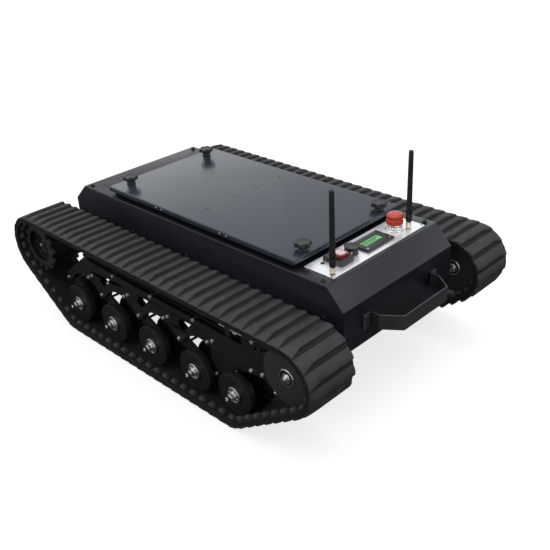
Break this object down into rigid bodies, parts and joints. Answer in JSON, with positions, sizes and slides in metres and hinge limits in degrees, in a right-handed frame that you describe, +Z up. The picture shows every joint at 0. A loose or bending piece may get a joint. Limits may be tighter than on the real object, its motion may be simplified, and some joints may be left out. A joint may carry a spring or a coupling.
{
  "type": "tracked robot chassis",
  "caption": "Crawler robot chassis: sheet-metal hull with lid and control panel between two rubber tracks on sprung road wheels.",
  "frame": {"origin": "on the floor, at the centre of the bounding box", "axes": "+X toward the control panel and pull handle, +Y to the left track, +Z up"},
  "size_m": [1.1258, 0.722, 0.536],
  "materials": {
    "black_paint": "satin black powder coat",
    "anodised_plate": "dark grey anodised plate",
    "zinc_steel": "zinc-plated steel",
    "brushed_steel": "brushed stainless sheet",
    "black_plastic": "moulded black plastic",
    "red_plastic": "gloss red plastic",
    "chrome": "bright chrome",
    "brass": "gold-coloured brass",
    "antenna_rubber": "matte black rubber sleeve",
    "track_rubber": "black track rubber",
    "wheel_grey": "dark grey cast nylon",
    "sprocket_grey": "dark grey painted metal",
    "motor_metal": "grey machined aluminium",
    "battery_blue": "blue shrink-wrapped pack",
    "controller_metal": "finned aluminium case"
  },
  "bodies": {
    "chassis": {"hull_tub": "black_paint", "lid_gasket": "track_rubber", "control_panel": "brushed_steel", "estop_base": "chrome", "rocker_housing": "black_plastic", "charge_meter": "black_plastic", "charge_socket": "black_plastic", "antenna_socket_right": "brass", "antenna_socket_left": "brass", "pull_handle": "black_paint", "battery_pack": "battery_blue", "motor_controller": "controller_metal", "belly_beam_rear": "black_paint", "belly_beam_front": "black_paint", "track_belt_right": "track_rubber", "frame_plate_outer_right": "anodised_plate", "frame_plate_inner_right": "anodised_plate", "hub_motor_right": "motor_metal", "track_belt_left": "track_rubber", "frame_plate_outer_left": "anodised_plate", "frame_plate_inner_left": "anodised_plate", "hub_motor_left": "motor_metal"},
    "lid": {"hull_lid": "black_paint"},
    "knob_rear_right": {"lid_knob_rear_right": "black_plastic"},
    "knob_rear_left": {"lid_knob_rear_left": "black_plastic"},
    "knob_front_right": {"lid_knob_front_right": "black_plastic"},
    "knob_front_left": {"lid_knob_front_left": "black_plastic"},
    "estop_plunger_body": {"estop_plunger": "black_plastic"},
    "estop_head_body": {"estop_head": "red_plastic"},
    "rocker": {"rocker_switch": "red_plastic"},
    "cap": {"charge_cap": "black_plastic"},
    "antenna_right": {"antenna_right": "antenna_rubber"},
    "antenna_left": {"antenna_left": "antenna_rubber"},
    "sprocket_right": {"drive_sprocket_right": "sprocket_grey"},
    "idler_carrier_body_right": {"idler_carrier_right": "zinc_steel"},
    "idler_right": {"idler_wheel_right": "sprocket_grey"},
    "arm_1_right": {"swing_arm_1_right": "anodised_plate"},
    "wheel_1_right": {"road_wheel_1_right": "wheel_grey"},
    "arm_2_right": {"swing_arm_2_right": "anodised_plate"},
    "wheel_2_right": {"road_wheel_2_right": "wheel_grey"},
    "arm_3_right": {"swing_arm_3_right": "anodised_plate"},
    "wheel_3_right": {"road_wheel_3_right": "wheel_grey"},
    "arm_4_right": {"swing_arm_4_right": "anodised_plate"},
    "wheel_4_right": {"road_wheel_4_right": "wheel_grey"},
    "arm_5_right": {"swing_arm_5_right": "anodised_plate"},
    "wheel_5_right": {"road_wheel_5_right": "wheel_grey"},
    "sprocket_left": {"drive_sprocket_left": "sprocket_grey"},
    "idler_carrier_body_left": {"idler_carrier_left": "zinc_steel"},
    "idler_left": {"idler_wheel_left": "sprocket_grey"},
    "arm_1_left": {"swing_arm_1_left": "anodised_plate"},
    "wheel_1_left": {"road_wheel_1_left": "wheel_grey"},
    "arm_2_left": {"swing_arm_2_left": "anodised_plate"},
    "wheel_2_left": {"road_wheel_2_left": "wheel_grey"},
    "arm_3_left": {"swing_arm_3_left": "anodised_plate"},
    "wheel_3_left": {"road_wheel_3_left": "wheel_grey"},
    "arm_4_left": {"swing_arm_4_left": "anodised_plate"},
    "wheel_4_left": {"road_wheel_4_left": "wheel_grey"},
    "arm_5_left": {"swing_arm_5_left": "anodised_plate"},
    "wheel_5_left": {"road_wheel_5_left": "wheel_grey"}
  },
  "joints": [
    {"name": "lid_lift", "type": "slide", "parent": "chassis", "child": "lid", "axis": [0, 0, 1], "range_m": [0, 0.12]},
    {"name": "knob_rear_right_turn", "type": "hinge", "parent": "lid", "child": "knob_rear_right", "pos_m": [-0.288, -0.133, 0.372], "axis": [0, 0, 1], "continuous": true},
    {"name": "knob_rear_left_turn", "type": "hinge", "parent": "lid", "child": "knob_rear_left", "pos_m": [-0.288, 0.133, 0.372], "axis": [0, 0, 1], "continuous": true},
    {"name": "knob_front_right_turn", "type": "hinge", "parent": "lid", "child": "knob_front_right", "pos_m": [0.33, -0.133, 0.372], "axis": [0, 0, 1], "continuous": true},
    {"name": "knob_front_left_turn", "type": "hinge", "parent": "lid", "child": "knob_front_left", "pos_m": [0.33, 0.133, 0.372], "axis": [0, 0, 1], "continuous": true},
    {"name": "estop_push", "type": "slide", "parent": "chassis", "child": "estop_plunger_body", "axis": [0, 0, -1], "range_m": [0, 0.004], "stiffness_N_per_m": 800, "springref_m": -0.001},
    {"name": "estop_twist", "type": "hinge", "parent": "estop_plunger_body", "child": "estop_head_body", "pos_m": [0.398, 0.103, 0.372], "axis": [0, 0, 1], "range_deg": [0, 30], "stiffness_Nm_per_rad": 0.05, "springref_deg": -2.86},
    {"name": "rocker_tilt", "type": "hinge", "parent": "chassis", "child": "rocker", "pos_m": [0.398, -0.096, 0.352], "axis": [1, 0, 0], "range_deg": [0, 16]},
    {"name": "cap_hinge", "type": "hinge", "parent": "chassis", "child": "cap", "pos_m": [0.3817, -0.052, 0.3632], "axis": [0, -1, 0], "range_deg": [0, 110]},
    {"name": "antenna_right_screw", "type": "hinge", "parent": "chassis", "child": "antenna_right", "pos_m": [0.43, -0.152, 0.36], "axis": [0, 0, 1], "continuous": true},
    {"name": "antenna_left_screw", "type": "hinge", "parent": "chassis", "child": "antenna_left", "pos_m": [0.424, 0.121, 0.36], "axis": [0, 0, 1], "continuous": true},
    {"name": "drive_right_spin", "type": "hinge", "parent": "chassis", "child": "sprocket_right", "pos_m": [-0.47, -0.295, 0.202], "axis": [0, 1, 0], "continuous": true},
    {"name": "track_tension_right", "type": "slide", "parent": "chassis", "child": "idler_carrier_body_right", "axis": [1, 0, 0], "range_m": [-0.01, 0]},
    {"name": "idler_right_spin", "type": "hinge", "parent": "idler_carrier_body_right", "child": "idler_right", "pos_m": [0.469, -0.295, 0.208], "axis": [0, 1, 0], "continuous": true},
    {"name": "suspension_1_right", "type": "hinge", "parent": "chassis", "child": "arm_1_right", "pos_m": [-0.399, -0.295, 0.116], "axis": [0, -1, 0], "range_deg": [0, 8]},
    {"name": "wheel_1_right_spin", "type": "hinge", "parent": "arm_1_right", "child": "wheel_1_right", "pos_m": [-0.319, -0.295, 0.073], "axis": [0, 1, 0], "continuous": true},
    {"name": "suspension_2_right", "type": "hinge", "parent": "chassis", "child": "arm_2_right", "pos_m": [-0.2415, -0.295, 0.116], "axis": [0, -1, 0], "range_deg": [0, 8]},
    {"name": "wheel_2_right_spin", "type": "hinge", "parent": "arm_2_right", "child": "wheel_2_right", "pos_m": [-0.1615, -0.295, 0.073], "axis": [0, 1, 0], "continuous": true},
    {"name": "suspension_3_right", "type": "hinge", "parent": "chassis", "child": "arm_3_right", "pos_m": [-0.082, -0.295, 0.116], "axis": [0, -1, 0], "range_deg": [0, 8]},
    {"name": "wheel_3_right_spin", "type": "hinge", "parent": "arm_3_right", "child": "wheel_3_right", "pos_m": [-0.002, -0.295, 0.073], "axis": [0, 1, 0], "continuous": true},
    {"name": "suspension_4_right", "type": "hinge", "parent": "chassis", "child": "arm_4_right", "pos_m": [0.078, -0.295, 0.116], "axis": [0, -1, 0], "range_deg": [0, 8]},
    {"name": "wheel_4_right_spin", "type": "hinge", "parent": "arm_4_right", "child": "wheel_4_right", "pos_m": [0.158, -0.295, 0.073], "axis": [0, 1, 0], "continuous": true},
    {"name": "suspension_5_right", "type": "hinge", "parent": "chassis", "child": "arm_5_right", "pos_m": [0.205, -0.295, 0.074], "axis": [0, -1, 0], "range_deg": [0, 8]},
    {"name": "wheel_5_right_spin", "type": "hinge", "parent": "arm_5_right", "child": "wheel_5_right", "pos_m": [0.294, -0.295, 0.073], "axis": [0, 1, 0], "continuous": true},
    {"name": "drive_left_spin", "type": "hinge", "parent": "chassis", "child": "sprocket_left", "pos_m": [-0.47, 0.295, 0.202], "axis": [0, 1, 0], "continuous": true},
    {"name": "track_tension_left", "type": "slide", "parent": "chassis", "child": "idler_carrier_body_left", "axis": [1, 0, 0], "range_m": [-0.01, 0]},
    {"name": "idler_left_spin", "type": "hinge", "parent": "idler_carrier_body_left", "child": "idler_left", "pos_m": [0.469, 0.295, 0.208], "axis": [0, 1, 0], "continuous": true},
    {"name": "suspension_1_left", "type": "hinge", "parent": "chassis", "child": "arm_1_left", "pos_m": [-0.399, 0.295, 0.116], "axis": [0, -1, 0], "range_deg": [0, 8]},
    {"name": "wheel_1_left_spin", "type": "hinge", "parent": "arm_1_left", "child": "wheel_1_left", "pos_m": [-0.319, 0.295, 0.073], "axis": [0, 1, 0], "continuous": true},
    {"name": "suspension_2_left", "type": "hinge", "parent": "chassis", "child": "arm_2_left", "pos_m": [-0.2415, 0.295, 0.116], "axis": [0, -1, 0], "range_deg": [0, 8]},
    {"name": "wheel_2_left_spin", "type": "hinge", "parent": "arm_2_left", "child": "wheel_2_left", "pos_m": [-0.1615, 0.295, 0.073], "axis": [0, 1, 0], "continuous": true},
    {"name": "suspension_3_left", "type": "hinge", "parent": "chassis", "child": "arm_3_left", "pos_m": [-0.082, 0.295, 0.116], "axis": [0, -1, 0], "range_deg": [0, 8]},
    {"name": "wheel_3_left_spin", "type": "hinge", "parent": "arm_3_left", "child": "wheel_3_left", "pos_m": [-0.002, 0.295, 0.073], "axis": [0, 1, 0], "continuous": true},
    {"name": "suspension_4_left", "type": "hinge", "parent": "chassis", "child": "arm_4_left", "pos_m": [0.078, 0.295, 0.116], "axis": [0, -1, 0], "range_deg": [0, 8]},
    {"name": "wheel_4_left_spin", "type": "hinge", "parent": "arm_4_left", "child": "wheel_4_left", "pos_m": [0.158, 0.295, 0.073], "axis": [0, 1, 0], "continuous": true},
    {"name": "suspension_5_left", "type": "hinge", "parent": "chassis", "child": "arm_5_left", "pos_m": [0.205, 0.295, 0.074], "axis": [0, -1, 0], "range_deg": [0, 8]},
    {"name": "wheel_5_left_spin", "type": "hinge", "parent": "arm_5_left", "child": "wheel_5_left", "pos_m": [0.294, 0.295, 0.073], "axis": [0, 1, 0], "continuous": true}
  ],
  "couplings": [
    {"joint": "idler_right_spin", "follows": "drive_right_spin", "ratio": 1.0994},
    {"joint": "wheel_1_right_spin", "follows": "drive_right_spin", "ratio": 1.3774},
    {"joint": "wheel_2_right_spin", "follows": "drive_right_spin", "ratio": 1.3774},
    {"joint": "wheel_3_right_spin", "follows": "drive_right_spin", "ratio": 1.3774},
    {"joint": "wheel_4_right_spin", "follows": "drive_right_spin", "ratio": 1.3774},
    {"joint": "wheel_5_right_spin", "follows": "drive_right_spin", "ratio": 1.3774},
    {"joint": "idler_left_spin", "follows": "drive_left_spin", "ratio": 1.0994},
    {"joint": "wheel_1_left_spin", "follows": "drive_left_spin", "ratio": 1.3774},
    {"joint": "wheel_2_left_spin", "follows": "drive_left_spin", "ratio": 1.3774},
    {"joint": "wheel_3_left_spin", "follows": "drive_left_spin", "ratio": 1.3774},
    {"joint": "wheel_4_left_spin", "follows": "drive_left_spin", "ratio": 1.3774},
    {"joint": "wheel_5_left_spin", "follows": "drive_left_spin", "ratio": 1.3774}
  ]
}
